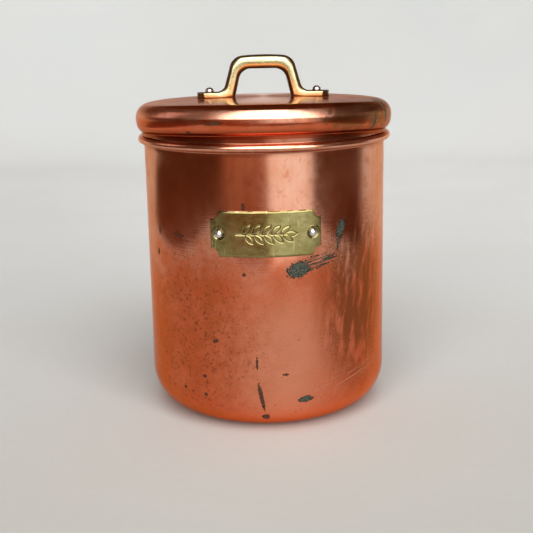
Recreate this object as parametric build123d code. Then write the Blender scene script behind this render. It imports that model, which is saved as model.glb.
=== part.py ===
from build123d import *

import math
import os

# Copper tea caddy: a drawn canister, a slip-on lid with a riveted brass handle, and a riveted brass label.
# Millimetres, +Z up, origin at the middle of the base. The label faces -Y.

# Canister
body_radius = 60.0
wall = 0.8
base_corner_radius = 20.0
bead_height = 137.2
bead_tube_radius = 1.75
bead_reach = 1.2
bead_root_radius = 0.8
neck_step = 0.3
neck_root_radius = 0.35
rim_height = 149.0

# Lid
lid_wall = 0.8
skirt_clearance = 0.4
skirt_rise = 1.25
flare_angle = 45.0
flare_radius = 0.8
flare_length = 1.1
lower_turn_radius = 5.0
side_angle = 12.0
side_radius = 17.0
shoulder_radius = 6.7
crown_angle = 4.4

# Handle
handle_depth = 9.6
foot_reach = 32.7
foot_thickness = 2.8
foot_corner = 3.0
leg_outer_angle = 15.9
leg_outer_base = 23.2
leg_flare_radius = 4.5
leg_outer_length = 9.6
shoulder_bend_radius = 7.0
grip_arch_angle = 4.6
leg_inner_angle = 13.6
leg_inner_base = 14.0
leg_inner_length = 9.9
finger_bend_radius = 6.0
grip_round = 2.2

# Handle rivets and their backing washers
handle_rivet_x = 26.7
handle_rivet_head_diameter = 4.3
handle_rivet_head_height = 2.4
handle_rivet_shank_diameter = 3.0
handle_rivet_tail_diameter = 4.4
handle_rivet_tail_height = 1.2
washer_diameter = 8.0
washer_thickness = 1.0

# Label
label_height = 21.3
label_chord = 50.4
label_middle_height = 98.1
label_thickness = 0.8
label_notch_radius = 4.0
label_rivet_angle = 20.9
label_rivet_head_diameter = 3.6
label_rivet_head_height = 1.5
label_rivet_shank_diameter = 2.2
label_rivet_tail_diameter = 3.4
label_rivet_tail_height = 0.9
dimple_diameter = 5.3
dimple_depth = 0.25

hole_clearance = 0.1
overrun = 1.0

neck_radius = body_radius - neck_step
seat_height = bead_height + bead_tube_radius
skirt_inner_radius = neck_radius + skirt_clearance
skirt_radius = skirt_inner_radius + lid_wall


def turned(lines):
    """A solid of revolution about Z from the lines of a closed half section in X and Z."""
    return revolve(Plane.XZ * make_face(lines), Axis.Z)


def onward(last, radius, angle):
    """An arc that carries on from the end of the last line, turning left for a positive angle."""
    return JernArc(last @ 1, last % 1, radius, angle)


def canister_form(inset, top):
    """The canister filled solid, with every surface moved in by inset, up to the height top."""
    side = body_radius - inset
    neck = neck_radius - inset
    bead_middle = body_radius + bead_reach
    tube = bead_tube_radius - inset
    root = bead_root_radius + inset
    neck_root = neck_root_radius + inset
    flat = body_radius - base_corner_radius

    base = Line((0, inset), (flat, inset))
    corner = JernArc(base @ 1, (1, 0), base_corner_radius - inset, 90)
    wall_line = Line((side, base_corner_radius), (side, bead_height - tube - root))
    root_below = onward(wall_line, root, -90)
    shelf_below = Line(root_below @ 1, (bead_middle, bead_height - tube))
    bead = onward(shelf_below, tube, 180)
    shelf_above = Line(bead @ 1, (neck + neck_root, bead_height + tube))
    root_above = onward(shelf_above, neck_root, -90)
    neck_line = Line(root_above @ 1, (neck, top))
    lid_line = Line(neck_line @ 1, (0, top))
    axis_line = Line((0, top), (0, inset))
    return turned([base, corner, wall_line, root_below, shelf_below, bead, shelf_above, root_above,
                   neck_line, lid_line, axis_line])


def lid_form(inset, below):
    """The lid filled solid, with every surface moved in by inset, starting below its lower edge."""
    start = skirt_radius - inset
    skirt = Line((start, seat_height - below), (start, seat_height + skirt_rise))
    flare = onward(skirt, flare_radius + inset, -flare_angle)
    under = Line(flare @ 1, flare @ 1 + flare % 1 * flare_length)
    turn = onward(under, lower_turn_radius - inset, flare_angle - side_angle)
    side = onward(turn, side_radius - inset, side_angle)
    shoulder = onward(side, shoulder_radius - inset, 90 - crown_angle)
    edge = shoulder @ 1
    crown = onward(shoulder, edge.X / math.sin(math.radians(crown_angle)), crown_angle)
    apex = Line(crown @ 1, (0, seat_height - below))
    mouth = Line((0, seat_height - below), skirt @ 0)
    return turned([skirt, flare, under, turn, side, shoulder, crown, apex, mouth])


def rivet(head_diameter, head_height, shank_diameter, grip, tail_diameter, tail_height):
    """A peened rivet along Z, with the seat of its domed head at the origin and its shank below."""
    half = head_diameter / 2
    side_height = head_height * 0.35
    dome_radius = (half ** 2 + (head_height - side_height) ** 2) / (2 * (head_height - side_height))
    dome_middle = head_height - dome_radius
    dome_start = math.degrees(math.atan2(side_height - dome_middle, half))
    head_side = Line((half, 0), (half, side_height))
    dome = CenterArc((0, dome_middle), dome_radius, dome_start, 90 - dome_start)
    middle = Line((0, head_height), (0, -grip - tail_height))
    tail_end = Line((0, -grip - tail_height), (tail_diameter * 0.3, -grip - tail_height))
    tail_slope = Line(tail_end @ 1, (tail_diameter / 2, -grip))
    tail_seat = Line(tail_slope @ 1, (shank_diameter / 2, -grip))
    shank = Line(tail_seat @ 1, (shank_diameter / 2, 0))
    seat = Line(shank @ 1, (half, 0))
    return turned([head_side, dome, middle, tail_end, tail_slope, tail_seat, shank, seat])


def hole(shank_diameter, low, high):
    """A drill along Z from low to high, for a rivet of this shank."""
    return Pos(0, 0, (low + high) / 2) * Cylinder(shank_diameter / 2 + hole_clearance, high - low)


def crown_height(form, x):
    """The height of a lid form's upper surface at a place on the X axis."""
    column = Box(0.02, 0.02, 400) & (Pos(-x, 0, 0) * form)
    return column.bounding_box().max.Z


def handle_outline(foot_bottom, foot_top):
    """The front outline of the handle's right half, from the middle of the grip to the finger gap."""
    outer_heading = math.radians(leg_outer_angle)
    end = Line((foot_reach, foot_bottom), (foot_reach, foot_top))
    foot = Line(end @ 1, (leg_outer_base, foot_top))
    flare = JernArc(foot @ 1, (-1, 0), leg_flare_radius, leg_outer_angle - 90)
    climb = Vector(-math.sin(outer_heading), math.cos(outer_heading))
    leg = Line(flare @ 1, flare @ 1 + climb * leg_outer_length)
    bend = onward(leg, shoulder_bend_radius, 90 - leg_outer_angle - grip_arch_angle)
    edge = bend @ 1
    arch = onward(bend, edge.X / math.sin(math.radians(grip_arch_angle)), grip_arch_angle)
    inner_heading = math.radians(leg_inner_angle)
    rise = Vector(-math.sin(inner_heading), math.cos(inner_heading))
    inner_base = Vector(leg_inner_base, crown_at_rivet)
    inner_start = inner_base - rise * ((crown_at_rivet - foot_bottom) / rise.Y)
    inner_leg = Line(inner_start, inner_base + rise * leg_inner_length)
    finger_bend = JernArc(inner_leg @ 1, rise, finger_bend_radius, 90 - leg_inner_angle)
    grip_under = Line(finger_bend @ 1, (0, (finger_bend @ 1).Y))
    middle = Line(grip_under @ 1, arch @ 1)
    sole = Line(inner_start, end @ 0)
    return [end, foot, flare, leg, bend, arch, middle, grip_under, finger_bend, inner_leg, sole]


def make_handle(lid_solid):
    """The cast handle: two flat feet, sloping legs and a slightly arched grip with rounded edges."""
    foot_top = crown_at_rivet + foot_thickness
    face = Plane.XZ * make_face(handle_outline(crown_at_rivet - 2, foot_top))
    half = extrude(face, handle_depth / 2, both=True)
    corners = [edge for edge in half.edges().filter_by(Axis.Z) if edge.center().X > foot_reach - 0.1]
    half = chamfer(corners, foot_corner)
    rims = [edge for edge in half.edges() if abs(abs(edge.center().Y) - handle_depth / 2) < 0.01]
    half = fillet([edge for edge in rims if edge.center().X > 0.05 and edge.center().Z > foot_top + 0.5],
                  grip_round)
    half -= Pos(handle_rivet_x, 0, 0) * hole(handle_rivet_shank_diameter, crown_at_rivet - 5, foot_top + 1)
    return half + mirror(half, Plane.YZ) - lid_solid


def make_lid(outer, inner):
    """The raised lid, drilled for the handle's rivets."""
    shell = outer - inner
    for x in (-handle_rivet_x, handle_rivet_x):
        shell -= Pos(x, 0, 0) * hole(handle_rivet_shank_diameter, crown_at_rivet - 5, crown_at_rivet + 5)
    return shell


def make_washer(inner):
    """A flat washer in the right place under the lid, its top face dressed to the lid's crown."""
    disc = Pos(0, 0, crown_at_rivet - lid_wall) * Cylinder(washer_diameter / 2, 2 * washer_thickness)
    disc -= hole(handle_rivet_shank_diameter, crown_at_rivet - 5, crown_at_rivet + 5)
    return (Pos(handle_rivet_x, 0, 0) * disc) & inner


def label_place(angle):
    """The frame on the canister's wall at this angle from the front, with Z pointing outwards."""
    around = Location((0, 0, 0), (0, 0, angle))
    return around * Location((0, -body_radius, label_middle_height), (90, 0, 0))


def make_label():
    """The bent label plate with hollow corners, dished and drilled for its rivets."""
    outline = Rectangle(label_chord, label_height)
    for x in (-label_chord / 2, label_chord / 2):
        for z in (-label_height / 2, label_height / 2):
            outline -= Pos(x, z) * Circle(label_notch_radius)
    blank = extrude(Plane.XZ * outline, body_radius * 2)
    ring = Cylinder(body_radius + label_thickness, label_height * 2)
    ring -= Cylinder(body_radius, label_height * 2)
    plate = Pos(0, 0, label_middle_height) * (ring & blank)
    for angle in (-label_rivet_angle, label_rivet_angle):
        plate -= label_place(angle) * hole(label_rivet_shank_diameter, -5, 5)
        dimple = Cylinder(dimple_diameter / 2, 2)
        plate -= label_place(angle) * Pos(0, 0, label_thickness - dimple_depth + 1) * dimple
    return plate


def make_canister():
    """The seamless canister with its swaged bead and neck, drilled for the label's rivets."""
    shell = canister_form(0, rim_height) - canister_form(wall, rim_height + overrun)
    for angle in (-label_rivet_angle, label_rivet_angle):
        shell -= label_place(angle) * hole(label_rivet_shank_diameter, -5, 5)
    return shell


lid_outer = lid_form(0, 0)
lid_inner = lid_form(lid_wall, overrun)
crown_at_rivet = crown_height(lid_outer, handle_rivet_x)

handle_rivet = rivet(handle_rivet_head_diameter, handle_rivet_head_height, handle_rivet_shank_diameter,
                     foot_thickness + lid_wall + washer_thickness + 0.05,
                     handle_rivet_tail_diameter, handle_rivet_tail_height)
label_rivet = rivet(label_rivet_head_diameter, label_rivet_head_height, label_rivet_shank_diameter,
                    label_thickness - dimple_depth + wall + 0.05,
                    label_rivet_tail_diameter, label_rivet_tail_height)
handle_rivet = Pos(handle_rivet_x, 0, crown_at_rivet + foot_thickness) * handle_rivet
washer = make_washer(lid_inner)
label_rivet = Pos(0, 0, label_thickness - dimple_depth) * label_rivet

nodes = {
    "canister_body": make_canister(),
    "lid": make_lid(lid_outer, lid_inner),
    "handle": make_handle(lid_outer),
    "handle_rivet_right": handle_rivet,
    "handle_rivet_left": mirror(handle_rivet, Plane.YZ),
    "handle_washer_right": washer,
    "handle_washer_left": mirror(washer, Plane.YZ),
    "label_plate": make_label(),
    "label_rivet_right": label_place(label_rivet_angle) * label_rivet,
    "label_rivet_left": label_place(-label_rivet_angle) * label_rivet,
}

os.makedirs("parts", exist_ok=True)
for name, solid in nodes.items():
    export_step(solid, f"parts/{name}.step")
    box = solid.bounding_box()
    print(name, round(solid.volume, 1), "z", round(box.min.Z, 2), round(box.max.Z, 2))
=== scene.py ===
import math

import bpy
from mathutils import Matrix, Vector, noise


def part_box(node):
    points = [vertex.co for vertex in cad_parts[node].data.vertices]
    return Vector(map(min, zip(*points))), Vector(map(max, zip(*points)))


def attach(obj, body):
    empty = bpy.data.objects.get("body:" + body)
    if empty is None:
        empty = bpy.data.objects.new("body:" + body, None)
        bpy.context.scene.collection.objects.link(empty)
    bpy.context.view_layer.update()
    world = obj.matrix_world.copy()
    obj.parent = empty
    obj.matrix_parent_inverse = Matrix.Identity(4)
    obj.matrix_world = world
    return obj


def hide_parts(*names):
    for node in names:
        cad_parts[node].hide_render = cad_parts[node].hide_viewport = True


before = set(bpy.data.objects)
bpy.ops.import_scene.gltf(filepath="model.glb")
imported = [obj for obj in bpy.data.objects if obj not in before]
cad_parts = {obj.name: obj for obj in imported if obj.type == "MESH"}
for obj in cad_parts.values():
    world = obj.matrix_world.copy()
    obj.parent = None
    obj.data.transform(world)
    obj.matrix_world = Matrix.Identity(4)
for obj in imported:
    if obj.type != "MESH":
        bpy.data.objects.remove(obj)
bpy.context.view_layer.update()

# A copper tea caddy on a pale table. All sizes are in metres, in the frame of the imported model.

# Driving sizes of the canister
BODY_RADIUS = 0.060
WALL = 0.0008
BASE_CORNER = 0.020
BEAD_HEIGHT = 0.1372
BEAD_TUBE = 0.00175
BEAD_REACH = 0.0012
BEAD_ROOT = 0.0008
NECK_RADIUS = 0.0597
NECK_ROOT = 0.00035
RIM_HEIGHT = 0.149
SEAT_HEIGHT = BEAD_HEIGHT + BEAD_TUBE

# Driving sizes of the lid
SKIRT_RADIUS = 0.0609
SKIRT_RISE = 0.00125
FLARE_ANGLE = 45.0
FLARE_RADIUS = 0.0008
FLARE_LENGTH = 0.0011
LOWER_TURN_RADIUS = 0.005
SIDE_ANGLE = 12.0
SIDE_RADIUS = 0.017
SHOULDER_RADIUS = 0.0067
CROWN_ANGLE = 4.4
LID_SPRING = 0.0026

# Driving sizes of the handle
FOOT_REACH = 0.0327
FOOT_THICKNESS = 0.0028
FOOT_CORNER = 0.003
FOOT_TOP_LENGTH = 0.0095
FOOT_BEND = 0.0045
SOLE_LENGTH = 0.0117
SOLE_BEHIND_FOOT = 0.0070
OUTER_LEG_ANGLE = 74.1
OUTER_LEG_LENGTH = 0.0096
OUTER_SHOULDER = 0.007
INNER_LEG_ANGLE = 76.4
INNER_LEG_LENGTH = 0.0099
INNER_SHOULDER = 0.006
ARCH_ANGLE = 4.6
HANDLE_HALF_DEPTH = 0.0048
HANDLE_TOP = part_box("handle")[1].z

# Driving sizes of the rivets and washers
HANDLE_RIVET_X = 0.0267
HANDLE_RIVET = dict(head_radius=0.00215, head_height=0.0024, shank_radius=0.0015, grip=0.00465,
                    tail_radius=0.0022, tail_height=0.0012)
LABEL_RIVET_ANGLE = 20.9
LABEL_RIVET_SUNK = 0.00025
LABEL_RIVET = dict(head_radius=0.0018, head_height=0.0015, shank_radius=0.0011, grip=0.0014,
                   tail_radius=0.0017, tail_height=0.0009)
WASHER_HOLE = 0.0016
WASHER_EDGE = 0.004
WASHER_THICKNESS = 0.001

# Driving sizes of the label
LABEL_HALF_WIDTH = 0.0252
LABEL_HALF_HEIGHT = 0.01065
LABEL_MIDDLE = 0.0981
LABEL_THICKNESS = 0.0008
LABEL_NOTCH = 0.004
LABEL_HALF_WIDTH_FLAT = BODY_RADIUS * math.asin(LABEL_HALF_WIDTH / BODY_RADIUS)
LABEL_RIVET_ARC = BODY_RADIUS * math.radians(LABEL_RIVET_ANGLE)
SPRIG_HALF_WIDTH = 0.0155
SPRIG_HALF_HEIGHT = 0.0060

# Fineness of the meshes
TURNS = 288
CROWN_STEPS = 40
HANDLE_AROUND = 40
RIVET_TURNS = 40
LABEL_COLUMNS = 300
LABEL_MIDDLE_ROWS = 88


# ---------------------------------------------------------------- mesh helpers


class Trace:
    """A line walked in straight runs and arcs, as (across, up) points. Positive bends turn left."""

    def __init__(self, across, up, heading):
        self.points = [Vector((across, up))]
        self.heading = math.radians(heading)

    def run(self, length, steps=1):
        start = self.points[-1]
        ahead = Vector((math.cos(self.heading), math.sin(self.heading)))
        self.points += [start + ahead * length * i / steps for i in range(1, steps + 1)]
        return self

    def bend(self, radius, angle, steps=8):
        turn = math.radians(angle) / steps
        chord = 2 * radius * math.sin(abs(turn) / 2)
        for _ in range(steps):
            self.heading += turn / 2
            ahead = Vector((math.cos(self.heading), math.sin(self.heading)))
            self.points.append(self.points[-1] + ahead * chord)
            self.heading += turn / 2
        return self


def add_piece(name, verts, faces, body, node, material, sharp_angle=None, lining=None, grime_and_shade=None):
    """A finished mesh object: it rides on a body, stands for a CAD node and has its material.

    lining is a second material with the first face that has it; the last argument is a value for each vertex
    that darkens the material: painted shade on the copper, tarnish and painted shade on the handle, grime on
    the label.
    """
    mesh = bpy.data.meshes.new(name)
    mesh.from_pydata(verts, [], faces)
    mesh.validate()
    for polygon in mesh.polygons:
        polygon.use_smooth = True
    if sharp_angle is not None:
        mesh.set_sharp_from_angle(angle=math.radians(sharp_angle))
    mesh.materials.append(material)
    if lining:
        mesh.materials.append(lining[0])
        for polygon in mesh.polygons[lining[1]:]:
            polygon.material_index = 1
    if grime_and_shade:
        layer = mesh.attributes.new("grime_and_shade", "FLOAT", "POINT")
        layer.data.foreach_set("value", grime_and_shade)
    piece = bpy.data.objects.new(name, mesh)
    bpy.context.scene.collection.objects.link(piece)
    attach(piece, body)
    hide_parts(node)
    return piece


def lathe(section, turns, shape=None):
    """Vertices and faces of a closed section turned about Z. shape moves a point of the finished form."""
    verts = []
    faces = []
    rows = []
    for point in section:
        if point.x < 1e-7:
            rows.append([len(verts)])
            verts.append(Vector((0, 0, point.y)))
            continue
        rows.append(range(len(verts), len(verts) + turns))
        for i in range(turns):
            angle = 2 * math.pi * i / turns
            verts.append(Vector((point.x * math.cos(angle), point.x * math.sin(angle), point.y)))
    for low, high in zip(rows, rows[1:]):
        for i in range(turns):
            j = (i + 1) % turns
            if len(low) == 1 and len(high) == 1:
                continue
            if len(low) == 1:
                faces.append((low[0], high[j], high[i]))
            elif len(high) == 1:
                faces.append((low[i], low[j], high[0]))
            else:
                faces.append((low[i], low[j], high[j], high[i]))
    if shape:
        verts = [shape(vert) for vert in verts]
    return verts, faces


def smooth_step(low, high, value):
    """0 at low and before it, 1 at high and after it; low may be the larger."""
    t = min(max((value - low) / (high - low), 0.0), 1.0)
    return t * t * (3 - 2 * t)


# ---------------------------------------------------------------- canister and lid


def canister_section():
    """The canister's wall as a half section: outside from base to rim, then inside back down.

    Also returns how many points are on the outside.
    """
    side = BEAD_HEIGHT - BEAD_TUBE - BEAD_ROOT - BASE_CORNER
    bead_flat = BEAD_REACH - BEAD_ROOT
    shelf = BODY_RADIUS + BEAD_REACH - NECK_RADIUS - NECK_ROOT
    neck = RIM_HEIGHT - SEAT_HEIGHT - NECK_ROOT - WALL / 2
    wall = Trace(0, 0, 0).run(BODY_RADIUS - BASE_CORNER, 10).bend(BASE_CORNER, 90, 24)
    wall.run(side, 60).bend(BEAD_ROOT, -90, 6)
    wall.run(bead_flat).bend(BEAD_TUBE, 180, 16)
    wall.run(shelf).bend(NECK_ROOT, -90, 5)
    wall.run(neck, 6).bend(WALL / 2, 180, 8)
    outside_count = len(wall.points)
    wall.run(neck, 6).bend(NECK_ROOT + WALL, 90, 5)
    wall.run(shelf).bend(BEAD_TUBE - WALL, -180, 12)
    wall.run(bead_flat).bend(BEAD_ROOT + WALL, 90, 6)
    wall.run(side, 30).bend(BASE_CORNER - WALL, -90, 20)
    wall.run(BODY_RADIUS - BASE_CORNER, 8)
    wall.points[-1].x = 0
    return wall.points, outside_count


def lid_surface(inset):
    """One surface of the lid from the skirt's lower edge to the apex, moved in by inset."""
    edge = Trace(SKIRT_RADIUS - inset, SEAT_HEIGHT, 90).run(SKIRT_RISE, 3)
    edge.bend(FLARE_RADIUS + inset, -FLARE_ANGLE, 6).run(FLARE_LENGTH, 3)
    edge.bend(LOWER_TURN_RADIUS - inset, FLARE_ANGLE - SIDE_ANGLE, 10)
    edge.bend(SIDE_RADIUS - inset, SIDE_ANGLE, 8)
    edge.bend(SHOULDER_RADIUS - inset, 90 - CROWN_ANGLE, 28)
    crown_radius = edge.points[-1].x / math.sin(math.radians(CROWN_ANGLE))
    edge.bend(crown_radius, CROWN_ANGLE, CROWN_STEPS)
    edge.points[-1].x = 0
    return edge.points


def crown_height(x, y):
    """The height of the lid's upper surface at a place near its middle."""
    return CROWN_APEX - (x * x + y * y) / (2 * CROWN_RADIUS)


CROWN_APEX = lid_surface(0)[-1].y
CROWN_RADIUS = lid_surface(0)[-1 - CROWN_STEPS].x / math.sin(math.radians(CROWN_ANGLE))


def hand_worked(point):
    """Small dents and waves, as thin sheet has after years of use. They fade out at the base and seat."""
    reach = math.hypot(point.x, point.y)
    if reach < 1e-6:
        return point
    strength = smooth_step(0.004, 0.03, point.z) * (1 - smooth_step(0.118, 0.130, point.z))
    wave = noise.noise(Vector((point.x * 28, point.y * 28, point.z * 16)))
    ripple = noise.noise(Vector((point.x * 75 + 9, point.y * 75, point.z * 50)))
    push = strength * (0.00010 * wave + 0.00003 * ripple) - strength * 0.00006
    return Vector((point.x * (1 + push / reach), point.y * (1 + push / reach), point.z))


def hand_worked_lid(point):
    """The lid's own waves, and its front edge sprung up a little from being pulled off."""
    strength = smooth_step(SEAT_HEIGHT + 0.001, SEAT_HEIGHT + 0.004, point.z)
    wave = noise.noise(Vector((point.x * 34 + 3, point.y * 34, point.z * 34)))
    drop = strength * 0.00007 * (wave - 1)
    reach = math.hypot(point.x, point.y)
    shrink = 1 + drop / max(reach, 0.02)
    spring = LID_SPRING * smooth_step(0.0, 1.15, -point.y / BODY_RADIUS - 0.1)
    return Vector((point.x * shrink, point.y * shrink, point.z + drop * 0.6 + spring))


def turned_painted_shade(section, amount):
    """Painted shade for each vertex of a turned form, from its section's points."""
    grime_and_shade = []
    for point in section:
        grime_and_shade += [amount(point)] * (1 if point.x < 1e-7 else TURNS)
    return grime_and_shade


def canister_painted_shade(point):
    """Painted shade: dark under the bead, and darker on the neck, in the recess under the lid."""
    under_bead = math.exp(-((point.y - BEAD_HEIGHT + BEAD_TUBE) / 0.0009) ** 2)
    return max(under_bead, 0.75 * smooth_step(SEAT_HEIGHT - 0.0002, SEAT_HEIGHT + 0.0002, point.y))


def make_canister(material, tin):
    section, outside_count = canister_section()
    verts, faces = lathe(section, TURNS, hand_worked)
    lining = (tin, outside_count * TURNS)
    # Painted shade under the bead and on the neck.
    grime_and_shade = turned_painted_shade(section, canister_painted_shade)
    return add_piece("canister_shell", verts, faces, "canister", "canister_body", material,
                     lining=lining, grime_and_shade=grime_and_shade)


def make_lid(material, tin):
    outside = lid_surface(0)
    inner = lid_surface(WALL)
    section = outside + list(reversed(inner)) + [outside[0]]
    verts, faces = lathe(section, TURNS, hand_worked_lid)
    lining = (tin, len(outside) * TURNS - TURNS)
    # Painted shade: the lid is darkest up to 2.8 mm above the seat and fades out by 5.2 mm, on the skirt,
    # flare and lower turn.
    grime_and_shade = turned_painted_shade(section, lambda p: 0.9 * smooth_step(0.0052, 0.0028, p.y - SEAT_HEIGHT))
    return add_piece("lid_shell", verts, faces, "lid", "lid", material, 60, lining, grime_and_shade)


# ---------------------------------------------------------------- handle


def handle_outlines():
    """The right half of the handle as outer and inner (x, z) points, foot end first, in matching pairs."""
    sole = crown_height(HANDLE_RIVET_X, 0)
    outer = Trace(FOOT_REACH, sole + FOOT_THICKNESS, 180)
    outer.run(FOOT_TOP_LENGTH, 14).bend(FOOT_BEND, -OUTER_LEG_ANGLE, 10)
    outer.run(OUTER_LEG_LENGTH, 10).bend(OUTER_SHOULDER, OUTER_LEG_ANGLE - ARCH_ANGLE, 14)
    arch_radius = outer.points[-1].x / math.sin(math.radians(ARCH_ANGLE))
    outer.bend(arch_radius, ARCH_ANGLE, 12)
    inner = Trace(FOOT_REACH, sole - 0.0002, 180).run(SOLE_LENGTH, 14).run(SOLE_BEHIND_FOOT, 10)
    inner.heading = math.radians(180 - INNER_LEG_ANGLE)
    inner.run(INNER_LEG_LENGTH, 10).bend(INNER_SHOULDER, INNER_LEG_ANGLE, 14)
    inner.run(inner.points[-1].x, 12)
    return outer.points, inner.points


def handle_tarnish_and_shade(ring, up):
    """How dark the handle is: along the edges of the legs, on top of and under the grip, little on the feet.
    Tarnish, with painted shade under the grip and painted dark reflection on the legs' edges and the grip's
    top.
    """
    leg = smooth_step(14, 24, ring) * (1 - smooth_step(38, 50, ring))
    edges = smooth_step(0.22, 0.62, abs(up))
    grip = max(smooth_step(0.72, 0.95, up), smooth_step(0.15, 0.75, -up))
    return leg * edges + (1 - leg) * grip


def handle_ring(i, outer, inner):
    """Ring i of the handle between an outer and an inner point, and the tarnish and painted shade of its
    points.

    The feet are nearly square in section and the grip is rounded.
    """
    roundness = smooth_step(10, 26, i)
    power = 7.0 + (2.9 - 7.0) * roundness
    depth = HANDLE_HALF_DEPTH * (1 - 0.10 * roundness)
    from_end = FOOT_REACH - outer.x
    depth = min(depth, HANDLE_HALF_DEPTH - FOOT_CORNER + min(from_end, FOOT_CORNER))
    middle = (outer + inner) / 2
    reach = (outer - inner) / 2
    ring = []
    grime_and_shade = []
    for k in range(HANDLE_AROUND):
        angle = 2 * math.pi * (k + 0.5) / HANDLE_AROUND
        c = math.cos(angle)
        s = math.sin(angle)
        up = math.copysign(abs(s) ** (2 / power), s)
        across = math.copysign(abs(c) ** (2 / power), c)
        place = middle + reach * up
        ring.append(Vector((place.x, depth * across, place.y)))
        grime_and_shade.append(handle_tarnish_and_shade(i, up))
    return ring, grime_and_shade


def handle_rings():
    """The rings of the handle, from the left foot to the right, and the tarnish and painted shade of every
    point.
    """
    outer, inner = handle_outlines()
    half = [handle_ring(i, *pair) for i, pair in enumerate(zip(outer, inner))]
    left = [[Vector((-p.x, p.y, p.z)) for p in ring] for ring, _ in half]
    right = [ring for ring, _ in reversed(half[:-1])]
    grime_and_shade_lists = [grime_and_shade for _, grime_and_shade in half + list(reversed(half[:-1]))]
    return left + right, [value for grime_and_shade in grime_and_shade_lists for value in grime_and_shade]


def cast_surface(point):
    """Hand-filed unevenness, and soles dressed to the lid's crown."""
    low = crown_height(point.x, point.y) + 0.00001
    wave = noise.noise(Vector((point.x * 140, point.y * 140, point.z * 140 + 5)))
    fade = smooth_step(low + 0.0006, low + 0.003, point.z)
    moved = point + Vector((0, math.copysign(0.00006 * (wave - 1) * fade, point.y), 0))
    moved.z = min(max(moved.z, low), HANDLE_TOP)
    return moved


def make_handle(material):
    rings, grime_and_shade = handle_rings()
    around = HANDLE_AROUND
    verts = [cast_surface(point) for ring in rings for point in ring]
    faces = []
    for i in range(len(rings) - 1):
        for k in range(around):
            m = (k + 1) % around
            faces.append((i * around + k, i * around + m, (i + 1) * around + m, (i + 1) * around + k))
    last = (len(rings) - 1) * around
    faces.append(tuple(reversed(range(around))))
    faces.append(tuple(range(last, last + around)))
    return add_piece("handle_casting", verts, faces, "lid", "handle", material, 50,
                     grime_and_shade=grime_and_shade)


# ---------------------------------------------------------------- rivets and washers


def rivet_section(head_radius, head_height, shank_radius, grip, tail_radius, tail_height):
    """Half section of a peened rivet, from the top of its dome to the end of its tail."""
    side = head_height * 0.35
    rise = head_height - side
    dome = (head_radius ** 2 + rise ** 2) / (2 * rise)
    sweep = math.asin(min(head_radius / dome, 1.0))
    points = []
    steps = 14
    for i in range(steps + 1):
        angle = sweep * i / steps
        points.append(Vector((dome * math.sin(angle), head_height - dome * (1 - math.cos(angle)))))
    end = -grip - tail_height
    outline = [(head_radius, side * 0.5), (head_radius * 0.97, side * 0.1), (head_radius * 0.9, 0),
               (shank_radius, 0), (shank_radius, -grip), (tail_radius, -grip),
               (tail_radius * 0.9, -grip - tail_height * 0.55), (tail_radius * 0.55, end), (0, end)]
    points += [Vector(place) for place in outline]
    return list(reversed(points))


def hammered(seed, size):
    """A rivet's small unevenness from the hammer."""
    def shape(point):
        wave = noise.noise(point * 700 + Vector((seed, seed * 2, 0)))
        return point * (1 + size * (wave - 1))
    return shape


def make_rivet(name, node, body, place, sizes, seed, material):
    verts, faces = lathe(rivet_section(**sizes), RIVET_TURNS, hammered(seed, 0.012))
    verts = [place @ vert for vert in verts]
    return add_piece(name, verts, faces, body, node, material, 60)


def make_washer(name, node, x, material):
    """A washer bedded against the inside of the crown."""
    hole = WASHER_HOLE
    edge = WASHER_EDGE
    thick = WASHER_THICKNESS
    round_off = 0.0002
    gap = 0.00012
    top = crown_height(HANDLE_RIVET_X, 0) - WALL - gap
    section = [(hole, 0), (hole, -thick + round_off), (hole + round_off, -thick),
               (edge - round_off, -thick), (edge, -thick + round_off), (edge, -round_off),
               (edge - round_off, 0), (hole, 0)]
    verts, faces = lathe([Vector(p) for p in section], RIVET_TURNS)
    verts = [vert + Vector((x, 0, top)) for vert in verts]
    return add_piece(name, verts, faces, "lid", node, material, 40)


def make_fittings(side, sign, material):
    """One side's handle rivet, washer and label rivet. sign is 1 on the right and -1 on the left."""
    foot = Matrix.Translation((sign * HANDLE_RIVET_X, 0, crown_height(HANDLE_RIVET_X, 0) + FOOT_THICKNESS))
    make_rivet(f"handle_rivet_head_{side}", f"handle_rivet_{side}", "lid", foot, HANDLE_RIVET, 3 + sign,
               material)
    make_washer(f"handle_backing_{side}", f"handle_washer_{side}", sign * HANDLE_RIVET_X, material)
    outward = Matrix.Rotation(math.radians(90), 4, "X")
    around = Matrix.Rotation(math.radians(sign * LABEL_RIVET_ANGLE), 4, "Z")
    stand = Matrix.Translation((0, LABEL_RIVET_SUNK - BODY_RADIUS - LABEL_THICKNESS, LABEL_MIDDLE))
    make_rivet(f"label_rivet_head_{side}", f"label_rivet_{side}", "canister", around @ stand @ outward,
               LABEL_RIVET, 7 + sign, material)


# ---------------------------------------------------------------- label


def leaf_distance(x, z, root, angle, length, width):
    """The signed distance to a pointed leaf that grows from root at this angle, negative inside."""
    c = math.cos(angle)
    s = math.sin(angle)
    along = (x - root[0]) * c + (z - root[1]) * s
    aside = abs(-(x - root[0]) * s + (z - root[1]) * c)
    half = length / 2
    curve = (half * half + (width / 2) ** 2) / width
    return math.hypot(along - half, aside + curve - width / 2) - curve


def sprig_leaves():
    """The leaves of the stamped sprig: root, angle, length and width of each."""
    leaves = [((0.0085, 0.0), 0.0, 0.0058, 0.0024)]
    for i in range(5):
        x = -0.0105 + i * 0.0043
        lean = math.radians(52 - 3 * i)
        length = 0.0059 - 0.0002 * abs(i - 2)
        leaves.append(((x, 0.0), lean, length, 0.0023))
        leaves.append(((x + 0.0012, 0.0), -lean, length, 0.0023))
    return leaves


LEAVES = sprig_leaves()


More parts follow.
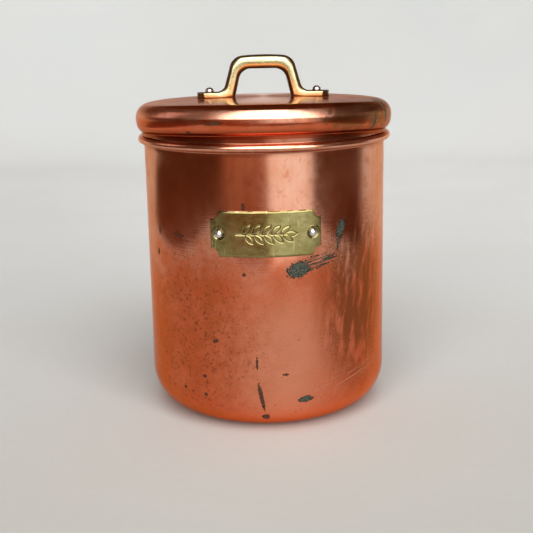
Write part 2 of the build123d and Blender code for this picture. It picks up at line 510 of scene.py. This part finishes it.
def sprig_relief(x, z):
    """The height of the stamped sprig at a place on the flat label: grooved outlines, raised leaves."""
    if abs(x) > SPRIG_HALF_WIDTH or abs(z) > SPRIG_HALF_HEIGHT:
        return 0.0
    stem = math.hypot(max(abs(x + 0.0020) - 0.0115, 0), z) - 0.00022
    nearest = min(leaf_distance(x, z, *leaf) for leaf in LEAVES)
    groove = math.exp(-(min(abs(nearest), abs(stem)) / 0.00020) ** 2)
    inside = smooth_step(0.0001, -0.0005, nearest) if nearest < 0.0001 else 0.0
    return 0.00010 * inside - 0.00017 * groove


def label_depth(x, z):
    """How far the label's front stands off the wall at a place on the flat label."""
    corner = math.hypot(LABEL_HALF_WIDTH_FLAT - abs(x), LABEL_HALF_HEIGHT - abs(z)) - LABEL_NOTCH
    edge = min(LABEL_HALF_WIDTH_FLAT - abs(x), LABEL_HALF_HEIGHT - abs(z), corner)
    softness = 0.0003
    near = min(max(edge / softness, 0.0), 1.0)
    rounding = softness * (1 - math.sqrt(1 - (1 - near) ** 2))
    away = math.hypot(abs(x) - LABEL_RIVET_ARC, z)
    dish = 0.00028 * (1 - smooth_step(0.0021, 0.0028, away))
    lip = 0.00006 * math.exp(-((away - 0.0030) / 0.0003) ** 2)
    wave = 0.00004 * noise.noise(Vector((x * 260, z * 260, 2)))
    return LABEL_THICKNESS - 0.00008 - rounding - dish + lip + wave + sprig_relief(x, z)


def label_rows():
    """The heights of the label's rows of vertices, with the half width of each."""
    steps = 12
    notch = []
    for i in range(steps + 1):
        angle = math.pi / 2 * (1 - i / steps)
        height = LABEL_HALF_HEIGHT - LABEL_NOTCH * math.cos(angle)
        notch.append((height, LABEL_HALF_WIDTH_FLAT - LABEL_NOTCH * math.sin(angle)))
    edge = [(LABEL_HALF_HEIGHT, LABEL_HALF_WIDTH_FLAT - LABEL_NOTCH)]
    top = [row for row in notch if row[0] < LABEL_HALF_HEIGHT - 1e-6]
    inner = LABEL_HALF_HEIGHT - LABEL_NOTCH
    middle = [(-inner + 2 * inner * i / LABEL_MIDDLE_ROWS, LABEL_HALF_WIDTH_FLAT)
              for i in range(1, LABEL_MIDDLE_ROWS)]
    lower = [(-height, width) for height, width in edge + top]
    upper = list(reversed(edge + top))
    return lower + middle + upper


def label_grime(x, z):
    """How dark the label is with old polish: in the stamped lines, round the rivets and at the edge."""
    groove = smooth_step(0.00002, -0.00012, sprig_relief(x, z)) if abs(x) < SPRIG_HALF_WIDTH else 0.0
    away = math.hypot(abs(x) - LABEL_RIVET_ARC, z)
    ring = math.exp(-((away - 0.0024) / 0.0006) ** 2)
    edge = min(LABEL_HALF_WIDTH_FLAT - abs(x), LABEL_HALF_HEIGHT - abs(z))
    return max(0.8 * groove, 0.8 * ring, 0.7 * smooth_step(0.0012, 0.0, edge))


def make_label(material):
    """The bent plate: a fine grid in front, a plain one behind, joined round the edge."""
    rows = label_rows()
    columns = LABEL_COLUMNS
    verts = []
    grime_and_shade = []
    for back in (False, True):
        for z, half in rows:
            for i in range(columns + 1):
                x = half * (2 * i / columns - 1)
                depth = 0.00002 if back else label_depth(x, z)
                reach = BODY_RADIUS + depth
                angle = x / BODY_RADIUS
                verts.append((reach * math.sin(angle), -reach * math.cos(angle), LABEL_MIDDLE + z))
                grime_and_shade.append(1.0 if back else label_grime(x, z))
    wide = columns + 1
    count = len(rows) * wide
    faces = []
    for r in range(len(rows) - 1):
        for i in range(columns):
            a = r * wide + i
            faces.append((a, a + 1, a + wide + 1, a + wide))
            faces.append((count + a, count + a + wide, count + a + wide + 1, count + a + 1))
        for a in (r * wide, r * wide + columns):
            side = (a, a + wide, count + a + wide, count + a)
            faces.append(side if a == r * wide else tuple(reversed(side)))
    for i in range(columns):
        faces.append((i, count + i, count + i + 1, i + 1))
        a = (len(rows) - 1) * wide + i
        faces.append((a, a + 1, count + a + 1, count + a))
    return add_piece("label_sheet", verts, faces, "canister", "label_plate", material, 60,
                     grime_and_shade=grime_and_shade)


# ---------------------------------------------------------------- node helpers


class Tree:
    """Short ways to add nodes to a tree. A value may be a number or another node's output."""

    def __init__(self, tree):
        self.tree = tree

    def add(self, kind, inputs=None, **settings):
        node = self.tree.nodes.new(kind)
        for name, value in settings.items():
            setattr(node, name, value)
        for key, value in (inputs or {}).items():
            if isinstance(value, bpy.types.NodeSocket):
                self.tree.links.new(value, node.inputs[key])
            else:
                node.inputs[key].default_value = value
        return node

    def math(self, operation, a, b=0.0):
        return self.add("ShaderNodeMath", {0: a, 1: b}, operation=operation).outputs[0]

    def times(self, *values):
        product = values[0]
        for value in values[1:]:
            product = self.math("MULTIPLY", product, value)
        return product

    def largest(self, values):
        most = values[0]
        for value in values[1:]:
            most = self.math("MAXIMUM", most, value)
        return most

    def ramp(self, value, low, high, start=0.0, end=1.0):
        """A smooth change from start to end while value goes from low to high."""
        inputs = {"Value": value, "From Min": low, "From Max": high, "To Min": start, "To Max": end}
        return self.add("ShaderNodeMapRange", inputs, interpolation_type="SMOOTHSTEP").outputs[0]

    def between(self, value, low, high, soft):
        """1 between low and high, falling smoothly to 0 over soft outside."""
        away = self.math("ABSOLUTE", self.math("SUBTRACT", value, (low + high) / 2))
        return self.ramp(away, (high - low) / 2, (high - low) / 2 + soft, 1.0, 0.0)

    def mix(self, factor, a, b):
        inputs = {0: factor, 6: self.colour(a), 7: self.colour(b)}
        return self.add("ShaderNodeMix", inputs, data_type="RGBA").outputs[2]

    def colour(self, value):
        return (*value, 1.0) if isinstance(value, tuple) else value

    def place(self, scale=(1, 1, 1)):
        """The object's own coordinates, stretched."""
        own = self.add("ShaderNodeTexCoord").outputs["Object"]
        return self.add("ShaderNodeVectorMath", {0: own, 1: scale}, operation="MULTIPLY").outputs[0]

    def noise(self, place, scale, detail=3.0, roughness=0.5):
        inputs = {"Vector": place, "Scale": scale, "Detail": detail, "Roughness": roughness}
        return self.add("ShaderNodeTexNoise", inputs).outputs[0]

    def bump(self, height, distance, strength=1.0):
        inputs = {"Height": height, "Distance": distance, "Strength": strength}
        return self.add("ShaderNodeBump", inputs).outputs[0]


def new_material(name):
    material = bpy.data.materials.new(name)
    material.use_nodes = True
    return material, Tree(material.node_tree), material.node_tree.nodes["Principled BSDF"]


def join(tree, shader, **values):
    """Connects outputs to the shader's inputs, by name with _ for a space."""
    for name, value in values.items():
        tree.tree.links.new(value, shader.inputs[name.replace("_", " ")])


# ---------------------------------------------------------------- copper

# The first pair is a paler copper, a painted highlight tone used higher up; the second is the copper's
# orange.
COPPER_HIGHLIGHT_TONE = ((0.80, 0.37, 0.235), (0.88, 0.47, 0.33))
COPPER_ORANGE = ((0.71, 0.125, 0.040), (0.82, 0.185, 0.082))
BROWN_BLOTCH = (0.62, 0.14, 0.035)
UPRIGHT_STREAK = (0.70, 0.20, 0.08)
RUBBED = (0.86, 0.38, 0.24)
LOW_BAND = (0.88, 0.17, 0.045)
DARK_REFLECTION = (0.27, 0.065, 0.018)
# Colour of the painted dark reflection on the canister's right
CLOUDED = (0.55, 0.115, 0.035)
SCUFFED = (0.95, 0.62, 0.45)
# Colour of the painted dark reflection on the lid's crown
CROWN_DARK_REFLECTION = (0.58, 0.19, 0.075)
STAIN_BROWN = (0.22, 0.10, 0.032)
# Dark red of the painted shade under the bead, on the neck and under the lid's edge
PAINTED_SHADE_COPPER = (0.22, 0.030, 0.008)
NICK_BLACK = (0.060, 0.028, 0.016)
PATINA = ((0.018, 0.024, 0.020), (0.075, 0.086, 0.066))


def unrolled(tree):
    """The place on the canister's wall: mm to the right round the wall, mm up, and 0."""
    x, y, z = tree.add("ShaderNodeSeparateXYZ", {0: tree.place()}).outputs
    angle = tree.math("ARCTAN2", x, tree.math("MULTIPLY", y, -1.0))
    arc = tree.math("MULTIPLY", angle, BODY_RADIUS * 1000)
    return tree.add("ShaderNodeCombineXYZ", {0: arc, 1: tree.math("MULTIPLY", z, 1000.0)}).outputs[0]


def spot(tree, wall, ragged, angle, height, width, tall, tilt=0.0, soft=0.25):
    """A ragged oval on the wall: 1 inside, 0 outside. Sizes are half sizes in mm, angles in degrees."""
    centre = (math.radians(angle) * BODY_RADIUS * 1000, height, 0)
    inputs = {0: wall, "Location": centre, "Rotation": (0, 0, math.radians(tilt)), "Scale": (width, tall, 1)}
    inside = tree.add("ShaderNodeMapping", inputs, vector_type="TEXTURE").outputs[0]
    length = tree.add("ShaderNodeVectorMath", {0: inside}, operation="LENGTH").outputs["Value"]
    return tree.ramp(tree.math("ADD", length, ragged), 1.0 - soft, 1.0 + soft, 1.0, 0.0)


def scaled_wall(tree, wall, across, up, tilt=0.0):
    inputs = {0: wall, "Rotation": (0, 0, math.radians(tilt)), "Scale": (across, up, 1)}
    return tree.add("ShaderNodeMapping", inputs, vector_type="TEXTURE").outputs[0]


def green_marks(tree, wall, ragged):
    """Verdigris: a chip right of the label and a wiped smear under its right end."""
    streaks = tree.noise(scaled_wall(tree, wall, 9.0, 0.8, 12.0), 1.0, 4.0, 0.6)
    smear = tree.times(spot(tree, wall, ragged, 20.0, 83.0, 11.5, 3.0, 12.0, 0.3),
                       tree.ramp(streaks, 0.47, 0.53))
    return tree.largest([
        spot(tree, wall, ragged, 35.5, 98.2, 2.3, 4.4, -20.0),
        spot(tree, wall, ragged, 34.2, 92.5, 0.5, 4.0, -10.0, 0.5),
        spot(tree, wall, ragged, 14.2, 80.8, 5.2, 3.6, 14.0, 0.2),
        smear,
        spot(tree, wall, ragged, 17.0, 17.4, 3.4, 1.4, 8.0),
    ])


def dark_marks(tree, wall, ragged):
    """Single nicks, spots and scratches that show dark."""
    return tree.largest([
        spot(tree, wall, ragged, -9.7, 110.8, 0.8, 1.4),
        spot(tree, wall, ragged, -43.6, 95.3, 3.4, 0.7, -6.0),
        spot(tree, wall, ragged, -58.3, 95.5, 0.9, 1.8),
        spot(tree, wall, ragged, -60.4, 84.7, 0.9, 1.7),
        spot(tree, wall, ragged, -24.1, 46.3, 1.4, 0.9, 20.0),
        spot(tree, wall, ragged, -5.1, 36.2, 0.5, 2.8),
        spot(tree, wall, ragged, -3.4, 19.6, 0.9, 6.4, 11.0),
        spot(tree, wall, ragged, -1.6, 8.4, 1.9, 1.5),
        spot(tree, wall, ragged, 7.8, 30.4, 1.4, 0.5),
        spot(tree, wall, ragged, -30.5, 27.9, 1.0, 0.8),
        spot(tree, wall, ragged, -30.3, 18.8, 0.8, 0.9),
        spot(tree, wall, ragged, -42.4, 20.0, 0.9, 0.7),
        spot(tree, wall, ragged, -10.0, 79.1, 0.8, 0.8),
    ])


def plain_copper(tree, wall, height, cloud, blotch, body):
    """Orange low down and paler, rosier high up, a painted highlight tone where the bright reflections lie,
    with browner blotches and upright streaks.
    """
    low, high, waver = (66.0, 104.0, 40.0) if body else (147.0, 151.0, 6.0)
    highlight_tone = tree.mix(tree.ramp(cloud, 0.35, 0.65), *COPPER_HIGHLIGHT_TONE)
    orange = tree.mix(tree.ramp(cloud, 0.35, 0.65), *COPPER_ORANGE)
    uneven = tree.math("ADD", height, tree.times(tree.math("SUBTRACT", cloud, 0.5), waver))
    upright = tree.noise(scaled_wall(tree, wall, 3.5, 60.0), 1.0, 2.0, 0.5)
    # Painted highlight tone: the copper turns paler and rosier with height, where the bright reflections lie.
    colour = tree.mix(tree.ramp(uneven, low, high), orange, highlight_tone)
    colour = tree.mix(tree.times(tree.ramp(blotch, 0.52, 0.72), 0.55), colour, BROWN_BLOTCH)
    return tree.mix(tree.times(tree.ramp(upright, 0.45, 0.75), 0.25), colour, UPRIGHT_STREAK)


def aged_wall(tree, wall, height, blotch, ragged, low_left, colour):
    """The canister's large patches: rubbed in front, a painted dark reflection at right, clouded at lower
    left, scuffed.
    """
    rubbed = spot(tree, wall, ragged, 6.0, 36.0, 26.0, 34.0, 0.0, 0.7)
    low_band = tree.times(tree.ramp(height, 15.0, 4.0), 0.75)
    streaky = tree.noise(scaled_wall(tree, wall, 4.0, 17.0, -8.0), 1.0, 5.0, 0.65)
    # Painted reflection: a dark streaked patch on the right wall, standing in for the reflection of dark
    # leaves.
    darkening = tree.times(spot(tree, wall, ragged, 46.0, 64.0, 20.0, 40.0, 0.0, 0.5),
                         tree.ramp(streaky, 0.30, 0.54), 0.92)
    clouded = tree.times(low_left, tree.ramp(blotch, 0.30, 0.65, 0.25, 0.85))
    scored = tree.noise(scaled_wall(tree, wall, 30.0, 0.5, 12.0), 1.0, 2.0, 0.5)
    scuffs = tree.times(spot(tree, wall, ragged, 42.0, 25.5, 19.0, 4.5, 12.0, 0.4),
                        tree.ramp(scored, 0.58, 0.64))
    colour = tree.mix(tree.times(rubbed, 0.60), colour, RUBBED)
    colour = tree.mix(low_band, colour, LOW_BAND)
    colour = tree.mix(darkening, colour, DARK_REFLECTION)
    colour = tree.mix(clouded, colour, CLOUDED)
    return tree.mix(tree.times(scuffs, 0.5), colour, SCUFFED)


def copper_speckle(tree, cloud):
    """Fine dark specks, in patches."""
    specks = tree.noise(tree.place(), 900.0, 2.0, 0.5)
    return tree.times(tree.ramp(specks, 0.69, 0.72), tree.ramp(cloud, 0.48, 0.6), 0.7)


def copper_material(name, body):
    """Old copper, spun and brushed round the axis. body is true for the canister, false for the lid."""
    material, tree, shader = new_material(name)
    wall = unrolled(tree)
    height = tree.add("ShaderNodeSeparateXYZ", {0: wall}).outputs[1]
    cloud = tree.noise(tree.place(), 55.0, 4.0, 0.6)
    blotch = tree.noise(tree.place((1, 1, 0.8)), 230.0, 4.0, 0.65)
    fine = tree.noise(scaled_wall(tree, wall, 0.9, 0.9), 1.0, 2.0, 0.5)
    ragged = tree.math("MULTIPLY", tree.math("SUBTRACT", fine, 0.5), 1.4)

    colour = plain_copper(tree, wall, height, cloud, blotch, body)
    rough = tree.math("ADD", tree.ramp(blotch, 0.3, 0.7, 0.115, 0.145), tree.ramp(cloud, 0.4, 0.7, 0.0, 0.03))
    speckle = copper_speckle(tree, cloud)
    if body:
        low_left = spot(tree, wall, ragged, -38.0, 45.0, 34.0, 42.0, 0.0, 0.6)
        spots = tree.ramp(tree.noise(tree.place(), 620.0, 3.0, 0.6), 0.575, 0.63)
        speckle = tree.math("MAXIMUM", speckle, tree.times(spots, low_left, 0.6))
        colour = aged_wall(tree, wall, height, blotch, ragged, low_left, colour)
        dark = dark_marks(tree, wall, ragged)
        green = green_marks(tree, wall, ragged)
    else:
        rough = tree.math("ADD", rough, 0.05)
        # Painted dark reflection: the crown turns browner towards its top.
        colour = tree.mix(tree.ramp(height, 153.5, 155.5, 0.0, 0.6), colour, CROWN_DARK_REFLECTION)
        colour = tree.mix(tree.times(lid_stain(tree), 0.85), colour, STAIN_BROWN)
        dark = lid_spots(tree)
        green = lid_green(tree)

    # Painted shade: the vertex value darkens the copper under the bead, on the neck under the lid and on the
    # lid's lower turn and skirt.
    grime_and_shade = tree.add("ShaderNodeAttribute", attribute_name="grime_and_shade").outputs["Fac"]
    colour = tree.mix(tree.times(grime_and_shade, 0.8), colour, PAINTED_SHADE_COPPER)
    darkened = tree.math("MAXIMUM", tree.ramp(dark, 0.0, 0.5), tree.times(speckle, 0.85))
    colour = tree.mix(darkened, colour, NICK_BLACK)
    patina = tree.mix(tree.ramp(fine, 0.35, 0.65), *PATINA)
    colour = tree.mix(tree.ramp(green, 0.0, 0.5), colour, patina)

    # The marks are coloured from their rims inwards, and dull and bare of metal only further in, so that
    # no rim catches the light.
    worn = tree.ramp(tree.math("MAXIMUM", dark, green), 0.5, 1.0)
    brushed = tree.noise(tree.place((30, 30, 2600)), 1.0, 3.0, 0.6)
    grooves = tree.math("ADD", tree.math("MULTIPLY", brushed, 0.10), tree.math("MULTIPLY", green, -0.3))
    tangent = tree.add("ShaderNodeTangent", direction_type="RADIAL", axis="Z").outputs[0]
    shader.inputs["Anisotropic"].default_value = 0.92
    shader.inputs["Specular Tint"].default_value = (1.0, 0.60, 0.40, 1)
    shader.inputs["Specular IOR Level"].default_value = 0.15
    shader.inputs["Coat Weight"].default_value = 0.15
    shader.inputs["Coat Roughness"].default_value = 0.2
    join(tree, shader, Base_Color=colour, Metallic=tree.math("SUBTRACT", 1.0, worn), Tangent=tangent,
         Roughness=tree.math("ADD", rough, tree.times(worn, 0.5)), Normal=tree.bump(grooves, 0.00006))
    return material


def near(tree, place, centre, radii, ragged):
    """A ragged ball about a place on the lid: 1 inside, 0 outside. Sizes in metres."""
    inputs = {0: place, "Location": centre, "Scale": radii}
    inside = tree.add("ShaderNodeMapping", inputs, vector_type="TEXTURE").outputs[0]
    length = tree.add("ShaderNodeVectorMath", {0: inside}, operation="LENGTH").outputs["Value"]
    return tree.ramp(tree.math("ADD", length, ragged), 0.75, 1.2, 1.0, 0.0)


def lid_stain(tree):
    """Brown clouded stains on the right of the lid and a faint one in front."""
    place = tree.place()
    ragged = tree.times(tree.math("SUBTRACT", tree.noise(place, 150.0, 5.0, 0.7), 0.5), 3.5)
    return tree.largest([
        tree.times(near(tree, place, (0.040, -0.046, 0.150), (0.013, 0.020, 0.010), ragged), 0.8),
        near(tree, place, (0.055, -0.022, 0.152), (0.012, 0.022, 0.009), ragged),
        tree.times(near(tree, place, (-0.012, -0.052, 0.154), (0.006, 0.006, 0.003), ragged), 0.6),
    ])


def lid_spots(tree):
    """Small dark spots in the front of the lid's bulge."""
    place = tree.place()
    ragged = tree.times(tree.math("SUBTRACT", tree.noise(place, 700.0, 3.0, 0.6), 0.5), 1.6)
    return tree.largest([
        near(tree, place, (-0.0215, -0.0595, 0.1485), (0.0024, 0.004, 0.0007), ragged),
        near(tree, place, (-0.0250, -0.0580, 0.1480), (0.0012, 0.004, 0.0005), ragged),
        near(tree, place, (-0.0340, -0.0530, 0.1440), (0.0011, 0.004, 0.0006), ragged),
    ])


def lid_green(tree):
    """A thin green run over the lid's right shoulder, broken where the bulge has been wiped."""
    place = tree.place()
    ragged = tree.times(tree.math("SUBTRACT", tree.noise(place, 520.0, 4.0, 0.7), 0.5), 3.2)
    return tree.largest([
        near(tree, place, (0.0545, -0.0170, 0.1545), (0.0022, 0.0055, 0.0022), ragged),
        near(tree, place, (0.0568, -0.0255, 0.1500), (0.0040, 0.0012, 0.0050), ragged),
        near(tree, place, (0.0520, -0.0365, 0.1455), (0.0030, 0.0009, 0.0045), ragged),
    ])


# ---------------------------------------------------------------- other materials


def tin_material():
    """The grey tinned lining, wiped and slightly spotted."""
    material, tree, shader = new_material("tin_lining")
    cloud = tree.noise(tree.place(), 70.0, 5.0, 0.65)
    spots = tree.ramp(tree.noise(tree.place(), 800.0, 2.0, 0.5), 0.62, 0.70)
    wiped = tree.noise(tree.place((30, 30, 1500)), 1.0, 3.0, 0.6)
    colour = tree.mix(tree.ramp(cloud, 0.35, 0.65), (0.52, 0.50, 0.46), (0.66, 0.65, 0.62))
    colour = tree.mix(tree.times(spots, 0.6), colour, (0.20, 0.17, 0.13))
    shader.inputs["Metallic"].default_value = 1.0
    join(tree, shader, Base_Color=colour, Roughness=tree.ramp(cloud, 0.3, 0.7, 0.30, 0.42),
         Normal=tree.bump(wiped, 0.00002))
    return material


def handle_material():
    """Polished cast brass, brown in its edges and corners with tarnish, painted shade and painted dark
    reflection.
    """
    material, tree, shader = new_material("handle_brass")
    cloud = tree.noise(tree.place(), 160.0, 4.0, 0.6)
    grain = tree.noise(tree.place(), 1500.0, 3.0, 0.6)
    grime_and_shade = tree.add("ShaderNodeAttribute", attribute_name="grime_and_shade").outputs["Fac"]
    # The vertex value is tarnish with painted shade and painted dark reflection on the edges; the cloud adds
    # tarnish at random.
    uneven = tree.math("ADD", grime_and_shade, tree.math("MULTIPLY", tree.math("SUBTRACT", cloud, 0.5), 0.7))
    darkening = tree.ramp(uneven, 0.25, 0.85)
    colour = tree.mix(tree.ramp(cloud, 0.35, 0.65), (0.45, 0.44, 0.24), (0.56, 0.57, 0.34))
    colour = tree.mix(tree.times(darkening, 0.9), colour, (0.16, 0.085, 0.030))
    colour = tree.mix(tree.times(tree.ramp(grain, 0.60, 0.68), 0.5), colour, (0.30, 0.18, 0.07))
    shader.inputs["Metallic"].default_value = 1.0
    join(tree, shader, Base_Color=colour, Roughness=tree.ramp(darkening, 0.0, 1.0, 0.20, 0.36),
         Normal=tree.bump(tree.math("ADD", grain, cloud), 0.00008))
    return material


def label_material():
    """Dulled sheet brass, olive and scratched, darker in the stamped lines."""
    material, tree, shader = new_material("label_brass")
    cloud = tree.noise(tree.place(), 120.0, 4.0, 0.6)
    stains = tree.noise(tree.place((1, 1, 1.5)), 420.0, 4.0, 0.65)
    scratches = tree.noise(tree.place((600, 600, 90)), 1.0, 2.0, 0.5)
    grime_and_shade = tree.add("ShaderNodeAttribute", attribute_name="grime_and_shade").outputs["Fac"]
    colour = tree.mix(tree.ramp(cloud, 0.35, 0.65), (0.32, 0.275, 0.100), (0.42, 0.365, 0.160))
    colour = tree.mix(tree.times(tree.ramp(stains, 0.50, 0.68), 0.5), colour, (0.22, 0.175, 0.055))
    colour = tree.mix(tree.times(grime_and_shade, 0.8), colour, (0.10, 0.075, 0.030))
    colour = tree.mix(tree.times(tree.ramp(scratches, 0.66, 0.70), 0.5), colour, (0.66, 0.56, 0.30))
    shader.inputs["Metallic"].default_value = 1.0
    join(tree, shader, Base_Color=colour, Roughness=tree.ramp(stains, 0.3, 0.7, 0.15, 0.24),
         Normal=tree.bump(tree.math("ADD", stains, scratches), 0.000015))
    return material


def aluminium_material():
    """Bright rivets, hammered and a little scratched."""
    material, tree, shader = new_material("rivet_aluminium")
    dents = tree.noise(tree.place(), 900.0, 3.0, 0.6)
    scratches = tree.noise(tree.place((4000, 4000, 500)), 1.0, 2.0, 0.5)
    colour = tree.mix(tree.ramp(dents, 0.35, 0.65), (0.60, 0.58, 0.60), (0.82, 0.81, 0.83))
    colour = tree.mix(tree.times(tree.ramp(scratches, 0.60, 0.68), 0.5), colour, (0.30, 0.27, 0.26))
    shader.inputs["Metallic"].default_value = 1.0
    join(tree, shader, Base_Color=colour, Roughness=tree.ramp(dents, 0.3, 0.7, 0.16, 0.30),
         Normal=tree.bump(dents, 0.00005))
    return material


# ---------------------------------------------------------------- set

TABLE_NEAR = (0.520, 0.545, 0.520)
TABLE_FAR_LIT = (0.665, 0.70, 0.695)
TABLE_LEFT_SHADE = (0.48, 0.51, 0.51)
WALL_LOW = (0.395, 0.415, 0.410)
WALL_HIGH_SHADE = (0.17, 0.08, 0.04)


def table_material():
    """A matt painted surface: warm and pale near the caddy, cooler and lighter behind in painted light,
    darker to the left in painted shade, and very dark high up on the sweep in painted shade for the dim room.
    """
    material, tree, shader = new_material("pale_table")
    x, y, z = tree.add("ShaderNodeSeparateXYZ", {0: tree.place()}).outputs
    cloud = tree.noise(tree.place(), 7.0, 3.0, 0.5)
    grain = tree.noise(tree.place(), 220.0, 3.0, 0.6)
    # Painted light: the table is lighter further back.
    colour = tree.mix(tree.ramp(y, -0.2, 0.5), TABLE_NEAR, TABLE_FAR_LIT)
    colour = tree.mix(tree.ramp(y, 0.75, 1.35), colour, WALL_LOW)
    # Painted shade: the sweep turns dark brown high up, standing in for the dim room.
    colour = tree.mix(tree.ramp(z, 0.26, 0.42), colour, WALL_HIGH_SHADE)
    # Painted shade: darker towards the left.
    colour = tree.mix(tree.ramp(x, -0.05, -0.3, 0.0, 0.30), colour, TABLE_LEFT_SHADE)
    colour = tree.mix(tree.ramp(cloud, 0.35, 0.65, 0.0, 0.10), colour, (0.50, 0.46, 0.41))
    colour = tree.mix(tree.ramp(grain, 0.4, 0.7, 0.0, 0.05), colour, (0.40, 0.36, 0.32))
    shader.inputs["Roughness"].default_value = 0.75
    shader.inputs["Specular IOR Level"].default_value = 0.25
    join(tree, shader, Base_Color=colour, Normal=tree.bump(grain, 0.0002, 0.4))
    return material


def make_table():
    """A pale table that ends not far in front of the caddy, and sweeps up into a wide backdrop behind."""
    front = -0.40
    rise = 0.9
    half_width = 0.45
    widening = 1.6
    sweep = Trace(front, 0, 0).run(rise - front, 24).bend(0.5, 90, 24).run(0.1, 2).points
    verts = []
    for p in sweep:
        left = -half_width - widening * smooth_step(0.3, 0.9, p.x)
        right = half_width + widening * smooth_step(0.05, 0.7, p.x)
        verts += [(left, p.x, p.y), (right, p.x, p.y)]
    faces = [(i, i + 1, i + 3, i + 2) for i in range(0, len(verts) - 2, 2)]
    mesh = bpy.data.meshes.new("table")
    mesh.from_pydata(verts, [], faces)
    for polygon in mesh.polygons:
        polygon.use_smooth = True
    mesh.materials.append(table_material())
    table = bpy.data.objects.new("table", mesh)
    bpy.context.scene.collection.objects.link(table)
    return table


class Room(Tree):
    """The room round the table, painted on the world by direction. Degrees, azimuth 0 at -Y, + to +X."""

    def __init__(self, tree):
        super().__init__(tree)
        ahead = self.add("ShaderNodeTexCoord").outputs["Generated"]
        x, y, z = self.add("ShaderNodeSeparateXYZ", {0: ahead}).outputs
        turn = self.math("ARCTAN2", x, self.math("MULTIPLY", y, -1.0))
        self.azimuth = self.math("MULTIPLY", turn, math.degrees(1))
        self.elevation = self.math("MULTIPLY", self.math("ARCSINE", z), math.degrees(1))
        self.total = None

    def light(self, colour, strength, azimuth, elevation, soft):
        """Adds a soft-edged patch of light over a range of azimuth and of elevation."""
        mask = self.math("MULTIPLY", self.between(self.azimuth, *azimuth, soft[0]),
                         self.between(self.elevation, *elevation, soft[1]))
        inputs = {0: colour, "Scale": self.math("MULTIPLY", mask, strength)}
        patch = self.add("ShaderNodeVectorMath", inputs, operation="SCALE").outputs[0]
        if self.total:
            patch = self.add("ShaderNodeVectorMath", {0: self.total, 1: patch}).outputs[0]
        self.total = patch


def make_world():
    """A dim room in front with one broad window, pale walls behind; the eye sees a plain pale ground."""
    world = bpy.data.worlds.new("studio")
    world.use_nodes = True
    room = Room(world.node_tree)
    # The dim room, a little lighter from below
    room.light((1.0, 0.36, 0.14), 0.09, (-180, 180), (-90, 90), (1, 1))
    room.light((1.0, 0.40, 0.20), 0.06, (-180, 180), (-90, -12), (1, 4))
    # The pale walls behind, right and left
    room.light((0.97, 1.0, 0.97), 0.5, (108, 180), (-90, 8), (8, 10))
    room.light((0.97, 1.0, 0.97), 0.36, (-180, -134), (-90, 8), (8, 10))
    # Warm glow low in front
    room.light((1.0, 0.42, 0.22), 0.10, (-34, 3), (-8, 10), (8, 2))
    room.light((1.0, 0.42, 0.22), 0.16, (-34, 3), (-40, 10), (8, 6))
    # The window above the camera, its lower part at the right, and a small pink patch far left
    room.light((1.0, 1.0, 1.0), 3.8, (-34, 46), (7, 74), (3, 5))
    room.light((0.92, 1.0, 1.0), 1.05, (4, 44), (-13, 6), (1.5, 4))
    room.light((1.0, 0.75, 0.75), 0.6, (-112, -88), (12, 34), (4, 8))
    around = room.add("ShaderNodeBackground", {"Color": room.total})
    plain = room.add("ShaderNodeBackground", {"Color": (0.70, 0.72, 0.69, 1)})
    seen = room.add("ShaderNodeLightPath").outputs["Is Camera Ray"]
    mix = room.add("ShaderNodeMixShader", {0: seen, 1: around.outputs[0], 2: plain.outputs[0]})
    room.tree.links.new(mix.outputs[0], room.tree.nodes["World Output"].inputs["Surface"])
    bpy.context.scene.world = world


def make_overhead_light():
    """A large soft light over the table, too high to show in the wall of the caddy."""
    lamp = bpy.data.lights.new("overhead", "AREA")
    lamp.size = 1.6
    lamp.energy = 5.0
    light = bpy.data.objects.new("overhead", lamp)
    light.location = (0.3, 0.1, 1.5)
    light.visible_glossy = False
    bpy.context.scene.collection.objects.link(light)
    return light


def make_camera():
    """The camera stands half a metre away, a little above the lid, tilted down and slightly rolled."""
    distance = 0.505
    height = 0.189
    pitch = math.radians(13.38)
    roll = math.radians(-1.13)
    lens = bpy.data.cameras.new("camera")
    lens.sensor_width = 36
    lens.lens = 67.5
    lens.clip_start = 0.01
    camera = bpy.data.objects.new("camera", lens)
    look = Matrix.Rotation(math.pi / 2 - pitch, 4, "X") @ Matrix.Rotation(roll, 4, "Z")
    camera.matrix_world = Matrix.Translation((0, -distance, height)) @ look
    bpy.context.scene.collection.objects.link(camera)
    bpy.context.scene.camera = camera
    return camera


# ---------------------------------------------------------------- the caddy

tin = tin_material()
aluminium = aluminium_material()

make_canister(copper_material("canister_copper", True), tin)
make_lid(copper_material("lid_copper", False), tin)
make_handle(handle_material())
make_label(label_material())

for side, sign in (("right", 1), ("left", -1)):
    make_fittings(side, sign, aluminium)

make_table()
make_world()
make_overhead_light()
make_camera()
bpy.context.scene.view_settings.view_transform = "Standard"
